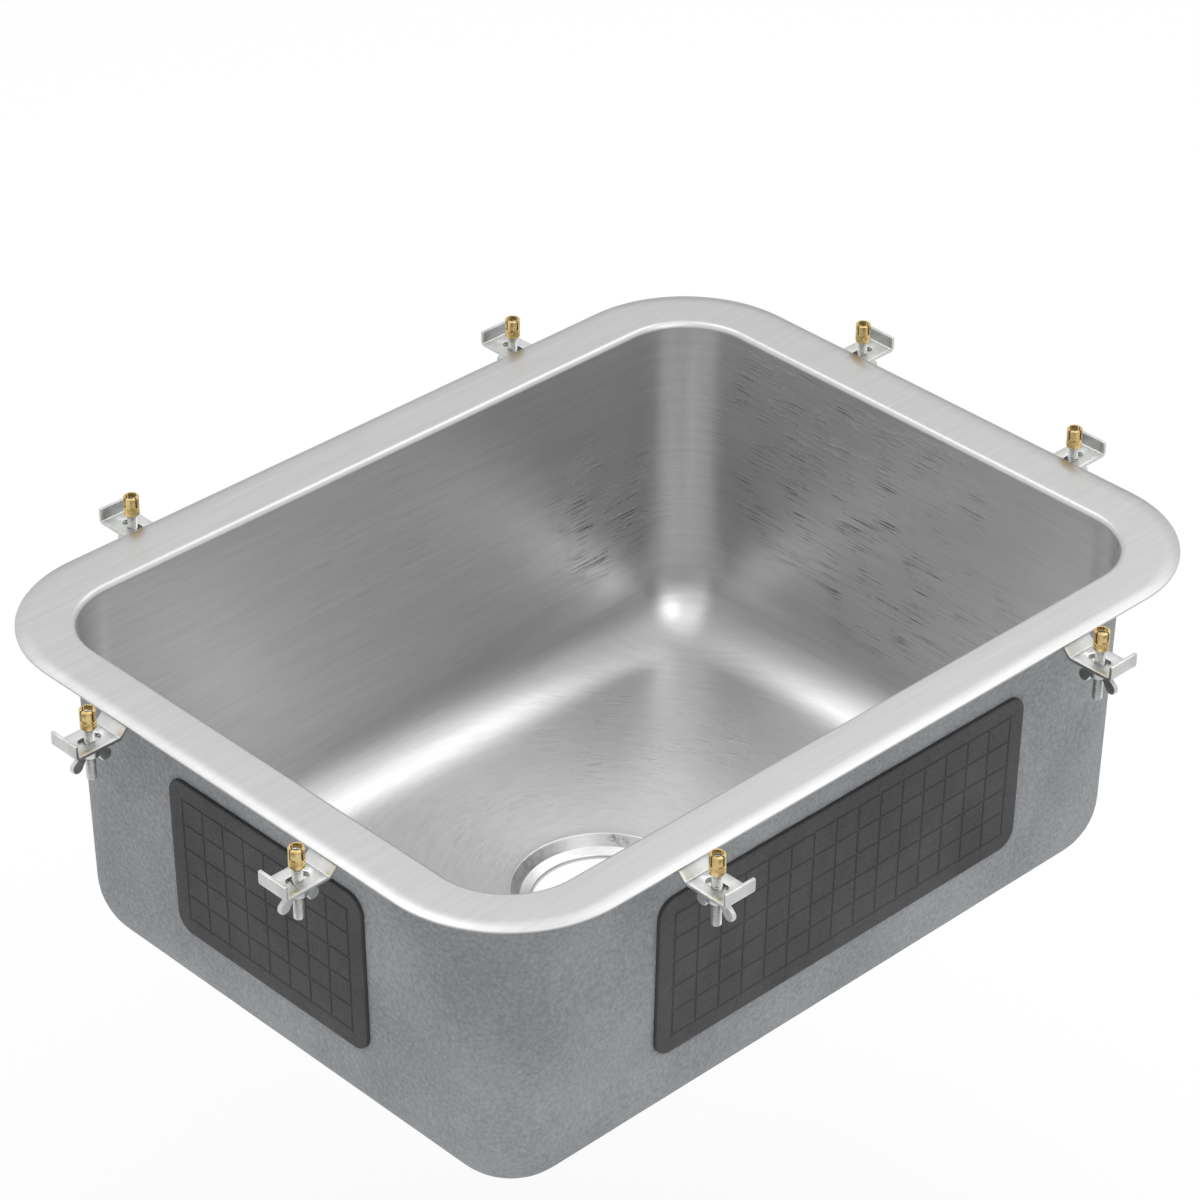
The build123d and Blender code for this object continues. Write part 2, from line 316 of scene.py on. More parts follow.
def sprayedCoat():
    look = coatLook
    material, nodes, links, shader = newMaterial("sprayedCoat")
    place = node(nodes, "ShaderNodeTexCoord").outputs["Object"]
    pebbles = noise(nodes, links, place, look["pebble"], 3, 0.55)
    clouds = noise(nodes, links, place, look["clouds"], 3, 0.55)
    both = mathNode(nodes, links, "ADD", pebbles, clouds)
    tone = mapRange(nodes, links, both, *look["toneRange"], 0, 1)
    links.new(mixColour(nodes, links, tone, look["dark"], look["light"]), shader.inputs["Base Color"])
    links.new(mapRange(nodes, links, pebbles, *noiseRange, *look["roughness"]), shader.inputs["Roughness"])
    drops = node(nodes, "ShaderNodeTexVoronoi", feature="SMOOTH_F1")
    links.new(place, drops.inputs["Vector"])
    drops.inputs["Scale"].default_value = look["droplets"]
    domes = mapRange(nodes, links, drops.outputs["Distance"], 0.0, look["dropletEdge"], 1, 0, True)
    sprayed = bump(nodes, links, domes, look["dropletDepth"])
    links.new(bump(nodes, links, pebbles, look["pebbleDepth"], under=sprayed), shader.inputs["Normal"])
    return material


def padRubber():
    look = rubberLook
    material, nodes, links, shader = newMaterial("padRubber")
    place = node(nodes, "ShaderNodeTexCoord").outputs["Object"]
    grain = noise(nodes, links, place, look["grain"], 2)
    dust = noise(nodes, links, place, look["dust"], 4, 0.6)
    tone = mapRange(nodes, links, dust, *look["dustRange"], 0, 1)
    links.new(mixColour(nodes, links, tone, look["dark"], look["light"]), shader.inputs["Base Color"])
    links.new(mapRange(nodes, links, grain, *noiseRange, *look["roughness"]), shader.inputs["Roughness"])
    links.new(bump(nodes, links, grain, look["grainDepth"]), shader.inputs["Normal"])
    return material


def platedMetal(name, look):
    material, nodes, links, shader = newMaterial(name)
    place = node(nodes, "ShaderNodeTexCoord").outputs["Object"]
    grain = noise(nodes, links, place, look["grain"], 4, 0.6)
    bloom = noise(nodes, links, place, look["grain"] / metalBloom["grains"], 3, 0.6)
    tone = mapRange(nodes, links, bloom, *metalBloom["range"], 0, 1)
    links.new(mixColour(nodes, links, tone, look["dark"], look["light"]), shader.inputs["Base Color"])
    links.new(mapRange(nodes, links, grain, *noiseRange, *look["roughness"]), shader.inputs["Roughness"])
    links.new(bump(nodes, links, grain, metalBloom["grainDepth"]), shader.inputs["Normal"])
    shader.inputs["Metallic"].default_value = 1.0
    return material


steel = brushedSteel()
coat = sprayedCoat()
rubber = padRubber()
brass = platedMetal("turnedBrass", brassLook)
zinc = platedMetal("zincPlate", zincLook)
print("materials made")


# The bowl: one pressed sheet, drawn ring by ring from the flange's edge to the drain.
bowlShape = {
    "flange": 31.75 * mm, "sheet": 1.2 * mm, "lip": 4.0 * mm, "mouthCorner": 50.8 * mm,
    "draft": math.radians(1.2), "depth": 223.0 * mm, "fall": 3.0 * mm, "bottomRound": 44.0 * mm,
    "footCorner": 3.0 * mm,          # corner radius left where the bends meet the floor
    "hole": 44.45 * mm, "recessTop": 57.15 * mm, "recessDepth": 6.5 * mm, "seat": 7.45 * mm,
    "drainLip": 4.1 * mm, "drainBend": 2.0 * mm,
    # the floor falls inside this radius; above 1, the curve steepens towards the drain
    "fallRadius": 141.35 * mm, "fallCurve": 1.5,
    # the seat leans to the hole, between tight bends
    "seatFall": 1.5 * mm, "recessBends": (1.25 * mm, 0.6 * mm),
    # rounding of the sheet's cut edges, and where across the sheet their two full rings lie
    "edge": 0.2 * mm, "edgeShares": (0.15, 0.85), "sharp": 50,
    "longSteps": 30, "shortSteps": 22, "cornerSteps": 22, "floorSteps": 14, "bendSteps": 16, "drainSteps": 6,
    "longestRun": 12 * mm,           # rings of the wall stand no further apart
}


def roundedPath(corners, radii, steps):
    # corners in order, each bend drawn as an arc that touches both of its runs;
    # each point comes with the direction away from the water, square to the sheet
    def square(start, end):
        run = (Vector(end) - Vector(start)).normalized()
        return run.y, -run.x

    path = [(*corners[0], *square(corners[0], corners[1]))]
    for i in range(1, len(corners) - 1):
        here, radius = Vector(corners[i]), radii[i - 1]
        back = (Vector(corners[i - 1]) - here).normalized()
        on = (Vector(corners[i + 1]) - here).normalized()
        half = back.angle(on) / 2
        centre = here + (back + on).normalized() * radius / math.sin(half)
        first = here + back * radius / math.tan(half) - centre
        last = here + on * radius / math.tan(half) - centre
        turn = first.angle_signed(last)
        base = math.atan2(first.y, first.x)
        side = 1 if first.dot(Vector(square(corners[i - 1], corners[i]))) > 0 else -1
        for k in range(steps + 1):
            ray = Vector((math.cos(base - turn * k / steps), math.sin(base - turn * k / steps)))
            path.append((*(centre + ray * radius), *(ray * side)))
    path.append((*corners[-1], *square(corners[-2], corners[-1])))
    return path


def moved(path, thickness):
    # the same path, moved square to itself, away from the water
    return [(a + across * thickness, z + up * thickness) for a, z, across, up in path]


def subdivided(path, longest):
    fine = [path[0]]
    for start, end in zip(path, path[1:]):
        count = max(1, math.ceil(math.hypot(end[0] - start[0], end[1] - start[1]) / longest))
        fine += [tuple(p + (q - p) * k / count for p, q in zip(start, end)) for k in range(1, count + 1)]
    return fine


def mouthRing(halfX, halfY, corner):
    # points round a rounded rectangle, the same count on every ring
    shape = bowlShape
    ring = []
    sides = (
        ((1, -1), (0, 1), shape["shortSteps"]), ((1, 1), (-1, 0), shape["longSteps"]),
        ((-1, 1), (0, -1), shape["shortSteps"]), ((-1, -1), (1, 0), shape["longSteps"]),
    )
    for (signX, signY), (runX, runY), steps in sides:
        start = Vector((signX * halfX, signY * halfY)) + Vector((runX, runY)) * corner
        length = 2 * ((halfY if runY else halfX) - corner)
        ring += [start + Vector((runX, runY)) * length * k / steps for k in range(steps)]
        end = start + Vector((runX, runY)) * length
        centre = end + Vector((-runY, runX)) * corner
        first = end - centre
        for k in range(shape["cornerSteps"]):
            turn = math.pi / 2 * k / shape["cornerSteps"]
            ring.append(centre + Vector((
                first.x * math.cos(turn) - first.y * math.sin(turn),
                first.x * math.sin(turn) + first.y * math.cos(turn))))
    return ring


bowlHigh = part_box("bowl")[1]
mouthHalfX, mouthHalfY = bowlHigh.x - bowlShape["flange"], bowlHigh.y - bowlShape["flange"]


def wallPath():
    # from the flange's edge over the mouth's bend and down the wall to the foot of the bottom bend,
    # and how far in the bottom bend starts
    shape = bowlShape
    lean = math.tan(shape["draft"])
    foot = shape["lip"] + (shape["depth"] - shape["lip"]) * lean
    corners = [(-shape["flange"], 0), (shape["lip"] * (1 - lean), 0), (foot, -shape["depth"]),
               (foot + 2 * shape["bottomRound"], -shape["depth"])]
    path = roundedPath(corners, [shape["lip"], shape["bottomRound"]], shape["bendSteps"])[:-1]
    return subdivided(path, shape["longestRun"]), path[shape["bendSteps"] + 2][0]


def wallRing(point, bendStart, bendEnd, thickness):
    # one level ring of the wall; its corners tighten round the bottom bend
    shape = bowlShape
    a, z, across, up = point
    share = max(0, (a - bendStart) / (bendEnd - bendStart))
    spare = shape["footCorner"] - (shape["mouthCorner"] - bendEnd)
    outward = across * thickness
    corner = shape["mouthCorner"] - a + spare * share ** 2 - outward
    ring = mouthRing(mouthHalfX - a - outward, mouthHalfY - a - outward, corner)
    return [(p.x, p.y, z + up * thickness) for p in ring]


def floorDrop(radius):
    shape = bowlShape
    top = shape["recessTop"] + shape["drainBend"]
    fallen = min(1, max(0, 1 - (radius - top) / (shape["fallRadius"] - top)))
    return shape["fall"] * fallen ** shape["fallCurve"]


def floorRings(outline, inner, thickness):
    # level rings from the foot of the bends in to a circle
    shape = bowlShape
    rings = []
    for k in range(1, shape["floorSteps"] + 1):
        share = k / shape["floorSteps"]
        ring = []
        for x, y, _ in outline:
            reach = math.hypot(x, y)
            radius = reach + (inner - reach) * share
            level = -shape["depth"] - thickness - floorDrop(radius)
            ring.append((x * radius / reach, y * radius / reach, level))
        rings.append(ring)
    return rings


def bowlRings(thickness):
    # thickness 0 draws the water's side, the sheet's thickness draws the outside
    shape = bowlShape
    path, bendStart = wallPath()
    bendEnd = path[-1][0]
    rings = [wallRing(point, bendStart, bendEnd, thickness) for point in path]
    outline = rings[-1]
    top = shape["recessTop"] + shape["drainBend"]
    rings += floorRings(outline, top, thickness)[:-1]
    # the recess and the hole's turned-down edge, by radius
    floorZ = -shape["depth"] - shape["fall"]
    seatZ = floorZ - shape["recessDepth"]
    corners = [
        (-top, floorZ), (-shape["recessTop"], floorZ), (-shape["hole"] - shape["seat"], seatZ),
        (-shape["hole"], seatZ - shape["seatFall"]),
        (-shape["hole"], seatZ - shape["drainLip"] + shape["edge"]),
    ]
    drain = roundedPath(corners, [*shape["recessBends"], shape["drainBend"]], shape["drainSteps"])
    for a, z in moved(drain, thickness):
        rings.append(circleOver(outline, -a, z))
    return rings


def circleOver(outline, radius, z):
    # a circle whose points stand where the outline's points stand, seen from the drain
    return [(x * radius / math.hypot(x, y), y * radius / math.hypot(x, y), z) for x, y, _ in outline]


def placed(name, data):
    piece = bpy.data.objects.new(name, data)
    bpy.context.scene.collection.objects.link(piece)
    return piece


def shaded(mesh, material, sharp):
    # edges that turn more than "sharp" degrees stay sharp
    mesh.polygons.foreach_set("use_smooth", [True] * len(mesh.polygons))
    mesh.set_sharp_from_angle(angle=math.radians(sharp))
    mesh.materials.append(material)
    return mesh


def meshPiece(name, vertices, faces, material, sharp):
    mesh = bpy.data.meshes.new(name)
    mesh.from_pydata(vertices, [], faces)
    mesh.validate()
    return placed(name, shaded(mesh, material, sharp))


def bandFaces(ringCount, around):
    # quads from each ring to the next, and from the last ring back to the first
    faces = []
    for r in range(ringCount):
        here, there = r * around, (r + 1) % ringCount * around
        for k in range(around):
            on = (k + 1) % around
            faces.append((here + k, here + on, there + on, there + k))
    return faces


def edgeRounding(first, second, pushes):
    # two rings that round the sheet's cut edge, between its two sides
    between = []
    for share in bowlShape["edgeShares"]:
        points = zip(first, second, pushes)
        between.append([tuple(Vector(p).lerp(Vector(q), share) + push) for p, q, push in points])
    return between


def makeBowl():
    shape = bowlShape
    inside = bowlRings(0)
    outside = bowlRings(shape["sheet"])
    # the cut edges are pulled in by the rounding, and two rings between carry their true size
    rim = [Vector((x, y, 0)) for x, y, _ in inside[0]]
    up = Vector((0, 0, 1))
    outward = [(rim[k + 1 - len(rim)] - rim[k - 1]).cross(up).normalized() for k in range(len(rim))]
    for ring in (inside[0], outside[0]):
        ring[:] = [tuple(Vector(p) - n * shape["edge"]) for p, n in zip(ring, outward)]
    rimEdge = edgeRounding(outside[0], inside[0], [n * shape["edge"] for n in outward])
    down = [up * -shape["edge"]] * len(rim)
    drainEdge = edgeRounding(inside[-1], outside[-1], down)
    rings = inside + drainEdge + outside[::-1] + rimEdge
    vertices = [point for ring in rings for point in ring]
    bowl = meshPiece("sinkBowl", vertices, bandFaces(len(rings), len(rings[0])), steel, shape["sharp"])
    # the round strokes' direction turns about the middle of this space, so it is centred on the drain
    bowl.data.use_auto_texspace = False
    bowl.data.texspace_location = (0, 0, 0)
    bowl.data.texspace_size = (0.3, 0.3, 0.3)
    return bowl


sinkBowl = makeBowl()
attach(sinkBowl, "root")
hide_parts("bowl")
print(f"bowl: {len(sinkBowl.data.polygons)} faces")


# The sprayed undercoat: a thin skin with an uneven upper edge.
undercoatShape = {
    "from": 1.2 * mm, "to": 2.2 * mm, "top": -14.0 * mm, "hole": 66.15 * mm,
    # how far the edge wanders down, the mean of that, and how often it does in a metre
    "ragged": 3.0 * mm, "raggedMean": 0.5, "raggedSize": 13.0,
    "finerShare": 0.25, "finerSize": 2.6,      # smaller wanders on top, as shares of the large ones
    # the thickness of the first rows below the edge, and their pitch; plain rows start below "clear"
    "feather": (0.3, 0.6, 0.85), "featherStep": 1.6 * mm, "clear": 8.0 * mm,
    "unevenness": 0.12, "lumpSize": 90, "sharp": 60,
}


def wander(point, size):
    return mathutils.noise.noise(Vector(point) * size)


def edgeSag(point):
    shape = undercoatShape
    large = wander(point, shape["raggedSize"])
    finer = wander(point, shape["finerSize"] * shape["raggedSize"])
    return shape["ragged"] * min(1, max(0, shape["raggedMean"] + large + shape["finerShare"] * finer))


def makeUndercoat():
    shape = undercoatShape
    path, bendStart = wallPath()
    bendEnd = path[-1][0]
    below = [point for point in path if point[1] < shape["top"] - shape["clear"]]
    start = next(point for point in path if point[1] < -bowlShape["lip"])
    lean = math.tan(bowlShape["draft"])
    upper = []
    for k in range(len(shape["feather"]) + 1):
        z = shape["top"] - k * shape["featherStep"]
        upper.append((start[0] - (z - start[1]) * lean, z, *start[2:]))
    rings = {"from": [], "to": []}
    for side in rings:
        for k, point in enumerate(upper + below):
            share = shape["feather"][k] if k < len(shape["feather"]) else 1
            thickness = shape["from"] + (shape["to"] - shape["from"]) * (share if side == "to" else 0)
            ring = wallRing(point, bendStart, bendEnd, thickness)
            if k < len(upper):
                ring = [(p[0], p[1], p[2] - edgeSag(p)) for p in ring]
            rings[side].append(ring)
        rings[side] += floorRings(rings[side][-1], shape["hole"], shape[side])
    # slight lumps, only inwards, so that the pads' seats stay level
    lumpy = []
    for ring, under in zip(rings["to"], rings["from"]):
        hollows = [shape["unevenness"] * abs(wander(p, shape["lumpSize"])) for p in ring]
        lumpy.append([Vector(p).lerp(Vector(q), hollow) for p, q, hollow in zip(ring, under, hollows)])
    closed = rings["from"] + lumpy[::-1]
    vertices = [tuple(point) for ring in closed for point in ring]
    faces = [face[::-1] for face in bandFaces(len(closed), len(closed[0]))]
    skin = meshPiece("sprayedUndercoat", vertices, faces, coat, shape["sharp"])
    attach(skin, "root")
    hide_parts("undercoat")
    return skin


undercoatSkin = makeUndercoat()
print(f"undercoat: {len(undercoatSkin.data.polygons)} faces")


# Rubber sound pads, pressed with a pattern of shallow squares.
padShape = {
    "thickness": 2.5 * mm, "corner": 12.0 * mm, "edge": 0.8 * mm, "border": 12.0 * mm,
    "pitch": 18.0 * mm, "groove": 1.8 * mm, "grooveDepth": 0.6 * mm, "grooveSlope": 0.5 * mm,
    "sink": 0.08 * mm,               # how far the adhesive side beds into the coat
    "borderSteps": 6, "sharp": 32,
    # rows of the rounded edge: how far out and how far down, as shares of "edge"
    "edgeRows": ((0.62, 0.24), (1.0, 0.9)),
}


def finishMesh(bm, name, material, sharp):
    bmesh.ops.recalc_face_normals(bm, faces=bm.faces)
    mesh = bpy.data.meshes.new(name)
    bm.to_mesh(mesh)
    bm.free()
    return shaded(mesh, material, sharp)


def padLines(length):
    # grid lines across a pad, each with 1 where it lies in a groove
    shape = padShape
    edge, border = shape["edge"], shape["border"]
    count = max(1, round((length - 2 * border) / shape["pitch"]))
    pitch = (length - 2 * border) / count
    half, steps = shape["groove"] / 2, shape["borderSteps"]
    lines = [(edge + (border - edge) * k / steps, 0) for k in range(steps)]
    for k in range(count + 1):
        at = border + pitch * k
        lines += [(at - half, 0), (at - half + shape["grooveSlope"], 1)]
        lines += [(at + half - shape["grooveSlope"], 1), (at + half, 0)]
        if k < count:
            lines += [(at + pitch / 3, 0), (at + pitch * 2 / 3, 0)]
    lines += [(length - border + (border - edge) * k / steps, 0) for k in range(1, steps + 1)]
    lines = sorted(line for line in lines if edge - tiny <= line[0] <= length - edge + tiny)
    return [(at - length / 2, groove) for at, groove in lines]


def roundedCorner(u, v, halfU, halfV, radius):
    # a point of a plain rectangle, drawn in so that the rectangle's corners are round
    fromU, fromV = abs(u) - (halfU - radius), abs(v) - (halfV - radius)
    if fromU <= 0 or fromV <= 0:
        return u, v
    p, q = fromU / radius, fromV / radius
    p, q = p * math.sqrt(1 - q * q / 2), q * math.sqrt(1 - p * p / 2)
    return (math.copysign(halfU - radius + p * radius, u), math.copysign(halfV - radius + q * radius, v))


def padMesh(name, length, height, place):
    # place(u, v, h) gives the point of the pad at (u, v), h off the surface that it is stuck to
    shape = padShape
    across, up = padLines(length), padLines(height)
    edge, thick = shape["edge"], shape["thickness"]
    halfU, halfV, radius = length / 2 - edge, height / 2 - edge, shape["corner"] - edge
    inU = [line for line, _ in across if abs(line) <= length / 2 - shape["border"] + shape["groove"]]
    inV = [line for line, _ in up if abs(line) <= height / 2 - shape["border"] + shape["groove"]]
    bm = bmesh.new()
    top, foot = {}, {}
    for i, (u, grooveU) in enumerate(across):
        for j, (v, grooveV) in enumerate(up):
            x, y = roundedCorner(u, v, halfU, halfV, radius)
            inside = inU[0] <= u <= inU[-1] and inV[0] <= v <= inV[-1]
            sunk = shape["grooveDepth"] if inside and (grooveU or grooveV) else 0
            top[i, j] = bm.verts.new(place(x, y, thick - sunk))
            foot[i, j] = bm.verts.new(place(x, y, -shape["sink"]))
    for i in range(len(across) - 1):
        for j in range(len(up) - 1):
            bm.faces.new((top[i, j], top[i + 1, j], top[i + 1, j + 1], top[i, j + 1]))
            bm.faces.new((foot[i, j], foot[i, j + 1], foot[i + 1, j + 1], foot[i + 1, j]))
    # the outline, in order, and the rounded edge that runs round it
    m, n = len(across) - 1, len(up) - 1
    rim = [(i, 0) for i in range(m)] + [(m, j) for j in range(n)]
    rim += [(i, n) for i in range(m, 0, -1)] + [(0, j) for j in range(n, 0, -1)]

    def rimRing(outward, h):
        ring = []
        for i, j in rim:
            x, y = roundedCorner(across[i][0], up[j][0], halfU, halfV, radius)
            push = Vector((max(0, abs(x) - (halfU - radius)), max(0, abs(y) - (halfV - radius))))
            push = Vector((math.copysign(push.x, x), math.copysign(push.y, y))).normalized() * edge * outward
            ring.append(bm.verts.new(place(x + push.x, y + push.y, h)))
        return ring

    rings = [[top[key] for key in rim]]
    rings += [rimRing(outward, thick - edge * drop) for outward, drop in shape["edgeRows"]]
    rings += [rimRing(1, -shape["sink"]), [foot[key] for key in rim]]
    for first, second in zip(rings, rings[1:]):
        for k in range(len(rim)):
            on = (k + 1) % len(rim)
            bm.faces.new((first[k], second[k], second[on], first[on]))
    return placed(name, finishMesh(bm, name, rubber, shape["sharp"]))


def makePads():
    draft, thick = bowlShape["draft"], padShape["thickness"]
    count = 0
    for side, out in (("back", (0, 1)), ("front", (0, -1)), ("right", (1, 0)), ("left", (-1, 0))):
        low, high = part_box(f"{side}_pad")
        middle = (low + high) / 2
        outward = Vector((out[0] * math.cos(draft), out[1] * math.cos(draft), -math.sin(draft)))
        along = Vector((-out[1], out[0], 0))
        upward = Vector((out[0] * math.sin(draft), out[1] * math.sin(draft), math.cos(draft)))
        size = high - low
        height = (size.z - thick * math.sin(draft)) / math.cos(draft)
        length = size.x if out[1] else size.y
        seat = middle - outward * thick / 2

        def onWall(u, v, h):
            return seat + along * u + upward * v + outward * h

        pad = padMesh(f"{side}SoundPad", length, height, onWall)
        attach(pad, "root")
        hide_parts(f"{side}_pad")
        count += 1
    under = -bowlShape["depth"] - undercoatShape["to"]
    for side in ("left", "right"):
        low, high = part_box(f"bottom_pad_{side}")
        middle = (low + high) / 2

        def onFloor(u, v, h):
            x, y = middle.x + u, middle.y + v
            return Vector((x, y, under - floorDrop(math.hypot(x, y)) - h))

        pad = padMesh(f"{side}BottomPad", high.x - low.x, high.y - low.y, onFloor)
        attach(pad, "root")
        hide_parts(f"bottom_pad_{side}")
        count += 1
    return count


print(f"{makePads()} sound pads")


# The hanging kit: one mesh of each kind, drawn as it hangs on the right side and turned to each station.
stationTurn = {"back": 90, "front": -90, "left": 180, "right": 0}    # degrees round Z


def placeKit(mesh, kind, body):
    for station in stations:
        low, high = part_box(f"stud_{station}")
        words = "".join(word.capitalize() for word in station.split("_"))
        piece = placed(kind + words, mesh.copy())
        piece.location = ((low.x + high.x) / 2, (low.y + high.y) / 2, 0)
        piece.rotation_euler = (0, 0, math.radians(stationTurn[station.split("_")[0]]))
        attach(piece, "root" if body == "root" else f"{body}_{station}")
        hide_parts(f"{body if body != 'root' else kind}_{station}")


studShape = {
    "low": -34.5 * mm, "high": 10.5 * mm, "crest": 3.1 * mm, "root": 2.46 * mm, "pitch": 1.27 * mm,
    "chamfer": 0.6 * mm, "columns": 24, "sharp": 40,
    "turnsBelow": 2, "turnsAbove": 1,          # drawn past the ends, then flattened onto them
    # height within one turn, and whether it is on the crest
    "profile": ((0.10, 0), (0.42, 1), (0.56, 1), (0.88, 0)),
}


def studMesh():
    shape = studShape
    low, high, pitch, columns = shape["low"], shape["high"], shape["pitch"], shape["columns"]
    turns = math.ceil((high - low) / pitch) + shape["turnsBelow"] + shape["turnsAbove"]
    rows = turns * len(shape["profile"])
    bm = bmesh.new()
    grid = []
    for i in range(rows):
        turn, (phase, crest) = i // len(shape["profile"]), shape["profile"][i % len(shape["profile"])]
        row = []
        for k in range(columns):
            angle = 2 * math.pi * k / columns
            z = low + (turn - shape["turnsBelow"] + phase + k / columns) * pitch
            radius = shape["crest"] if crest else shape["root"]
            z = min(max(z, low), high)
            radius = min(radius, shape["crest"] - shape["chamfer"] + min(z - low, high - z))
            row.append(bm.verts.new((radius * math.cos(angle), radius * math.sin(angle), z)))
        grid.append(row)
    shift = len(shape["profile"])        # after one round the thread has climbed one turn
    for i in range(rows - 1):
        for k in range(columns - 1):
            bm.faces.new((grid[i][k], grid[i][k + 1], grid[i + 1][k + 1], grid[i + 1][k]))
        if i + shift + 1 < rows:
            bm.faces.new((grid[i][-1], grid[i + shift][0], grid[i + shift + 1][0], grid[i + 1][-1]))
    bmesh.ops.remove_doubles(bm, verts=bm.verts, dist=mergeWithin)
    bmesh.ops.dissolve_degenerate(bm, edges=bm.edges, dist=mergeWithin)
    bmesh.ops.holes_fill(bm, edges=[edge for edge in bm.edges if edge.is_boundary], sides=0)
    return finishMesh(bm, "studThread", zinc, shape["sharp"])


insertShape = {
    "radius": 4.7625 * mm, "bore": 3.175 * mm, "length": 12.7 * mm,
    "slit": 1.0 * mm, "slitLength": 6.5 * mm, "columns": 16, "knurl": 0.16 * mm, "sharp": 30,
    # height, how far the wall lies inside the full radius, and whether the row is knurled; in millimetres
    "rows": (
        (0.0, 0.5, 0), (0.5, 0.0, 0), (1.2, 0.0, 0), (1.4, 0.0, 1), (2.6, 0.0, 1), (2.8, 0.45, 0),
        (3.1, 0.45, 0), (3.3, 0.0, 1), (4.5, 0.0, 1), (4.7, 0.45, 0), (5.2, 0.45, 0), (5.6, 0.0, 0),
        (6.2, 0.0, 0), (7.4, 0.0, 0), (7.6, 0.0, 1), (11.0, 0.0, 1), (11.2, 0.0, 0), (12.2, 0.0, 0),
        (12.7, 0.5, 0),
    ),
}


def insertMesh():
    shape = insertShape
    columns, split = shape["columns"], shape["length"] - shape["slitLength"]
    bm = bmesh.new()

    def angles(radius):
        # columns of one quarter, from slit edge to slit edge, at this radius
        gap = math.asin(shape["slit"] / 2 / radius)
        return [q * math.pi / 2 + gap + (math.pi / 2 - 2 * gap) * k / (columns - 1)
                for q in range(4) for k in range(columns)]

    def ring(radius, z, knurled=False):
        made = []
        for k, angle in enumerate(angles(radius)):
            r = radius - (shape["knurl"] if knurled and k % 2 else 0)
            made.append(bm.verts.new((r * math.cos(angle), r * math.sin(angle), z)))
        return made

    outer = [ring(shape["radius"] - inset * mm, z * mm, knurl) for z, inset, knurl in shape["rows"]]
    inner = [ring(shape["bore"], z * mm) for z, _, _ in shape["rows"]]
    around = len(outer[0])
    heights = [z * mm for z, _, _ in shape["rows"]]
    # between two quarters the wall is open from the slit's foot up
    for k in range(around):
        on, gap = (k + 1) % around, k % columns == columns - 1
        for i in range(len(heights) - 1):
            if gap and heights[i] >= split - tiny:
                continue
            bm.faces.new((outer[i][k], outer[i][on], outer[i + 1][on], outer[i + 1][k]))
            bm.faces.new((inner[i][k], inner[i + 1][k], inner[i + 1][on], inner[i][on]))
        bm.faces.new((outer[0][k], inner[0][k], inner[0][on], outer[0][on]))
        if not gap:
            bm.faces.new((outer[-1][k], outer[-1][on], inner[-1][on], inner[-1][k]))
            continue
        step = min(i for i, z in enumerate(heights) if z >= split - tiny)
        bm.faces.new((outer[step][k], outer[step][on], inner[step][on], inner[step][k]))
        for i in range(step, len(heights) - 1):
            bm.faces.new((outer[i][k], outer[i + 1][k], inner[i + 1][k], inner[i][k]))
            bm.faces.new((outer[i][on], inner[i][on], inner[i + 1][on], outer[i + 1][on]))
    return finishMesh(bm, "slitInsert", brass, shape["sharp"])


washerShape = {
    "hole": 3.4 * mm, "radius": 8.0 * mm, "top": -10.0 * mm, "thick": 1.6 * mm,
    "round": 0.35 * mm, "roundSteps": 3, "columns": 48, "sharp": 35,
}


def washerMesh():
    shape = washerShape
    low, high, edge = shape["top"] - shape["thick"], shape["top"], shape["round"]
    outer, inner = shape["radius"] - edge, shape["hole"] + edge
    # the centres of the four rounded corners, and the angle at which each corner starts
    corners = (
        (outer, high - edge, 90), (outer, low + edge, 0),
        (inner, low + edge, -90), (inner, high - edge, 180),
    )
    profile = []
    for radius, z, start in corners:
        for k in range(shape["roundSteps"] + 1):
            angle = math.radians(start - 90 * k / shape["roundSteps"])
            profile.append((radius + edge * math.cos(angle), z + edge * math.sin(angle)))
    bm = bmesh.new()
    angles = [2 * math.pi * k / shape["columns"] for k in range(shape["columns"])]
    rings = [[bm.verts.new((r * math.cos(a), r * math.sin(a), z)) for a in angles] for r, z in profile]
    for i, ring in enumerate(rings):
        under = rings[(i + 1) % len(rings)]
        for k in range(shape["columns"]):
            on = (k + 1) % shape["columns"]
            bm.faces.new((ring[k], ring[on], under[on], under[k]))
    return finishMesh(bm, "flatWasher", zinc, shape["sharp"])


clipShape = {
    # the strip's upper side, from the toe under the flange to the heel against the worktop,
    # and the radii of its bends, in millimetres
    "path": ((-30.0, -1.2), (-20.0, -1.2), (-13.0, -8.0), (16.0, -8.0), (16.0, 0.0)),
    "radii": (2.8, 0.8, 0.8), "bendSteps": 5,
    "thick": 2.0 * mm, "width": 22.0 * mm, "across": 3, "toeCorner": 4.0 * mm, "toeSteps": 6,
    # the slot is cut only where the strip lies below slotBelow
    "slot": 15.0 * mm, "slotHalf": 3.4 * mm, "slotBelow": -7.9 * mm, "slotSteps": 7,
    # edges that turn more than roundedFrom degrees are rounded
    "round": 0.25 * mm, "roundedFrom": 50, "sharp": 35,
}


